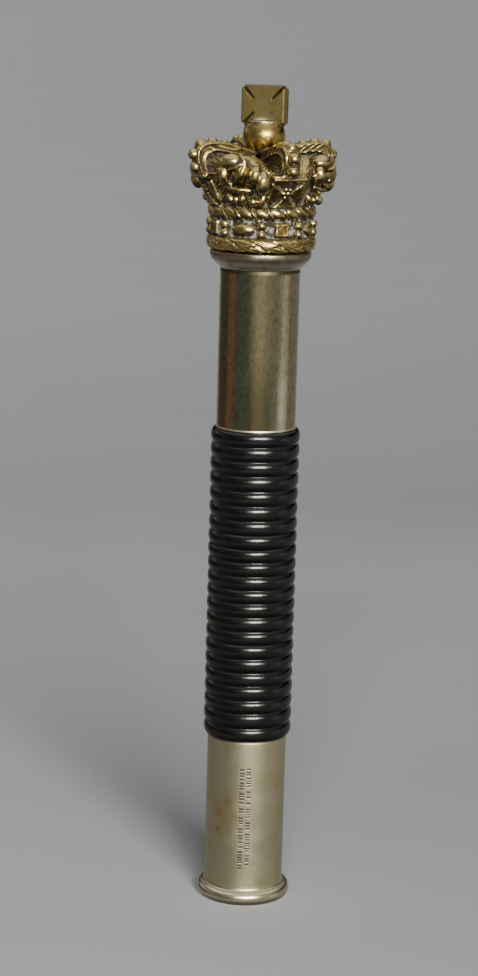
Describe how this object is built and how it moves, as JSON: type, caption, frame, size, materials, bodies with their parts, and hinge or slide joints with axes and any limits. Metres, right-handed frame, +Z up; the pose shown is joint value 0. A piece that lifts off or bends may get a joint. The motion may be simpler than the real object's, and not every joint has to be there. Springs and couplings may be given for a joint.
{
  "type": "tipstaff",
  "caption": "Short staff of office with a cast brass crown, a moulded collar, a plain metal barrel, a ringed black wood grip and a flared metal foot cap to stand on.",
  "frame": {"origin": "centre of the flat underside of the foot cap, where the staff stands", "axes": "+Z up the staff towards the crown; -Y is the front that the picture shows, +X its right"},
  "size_m": [0.0332, 0.0332, 0.1899],
  "materials": {
    "aged_brass": "satin",
    "pale_nickel": "satin",
    "polished_nickel_silver": "gloss",
    "black_wood": "gloss",
    "satin_nickel_silver": "satin"
  },
  "bodies": {
    "root": {"crown": "aged_brass", "collar": "pale_nickel", "barrel": "polished_nickel_silver", "grip": "black_wood", "foot_cap": "satin_nickel_silver"}
  },
  "joints": []
}
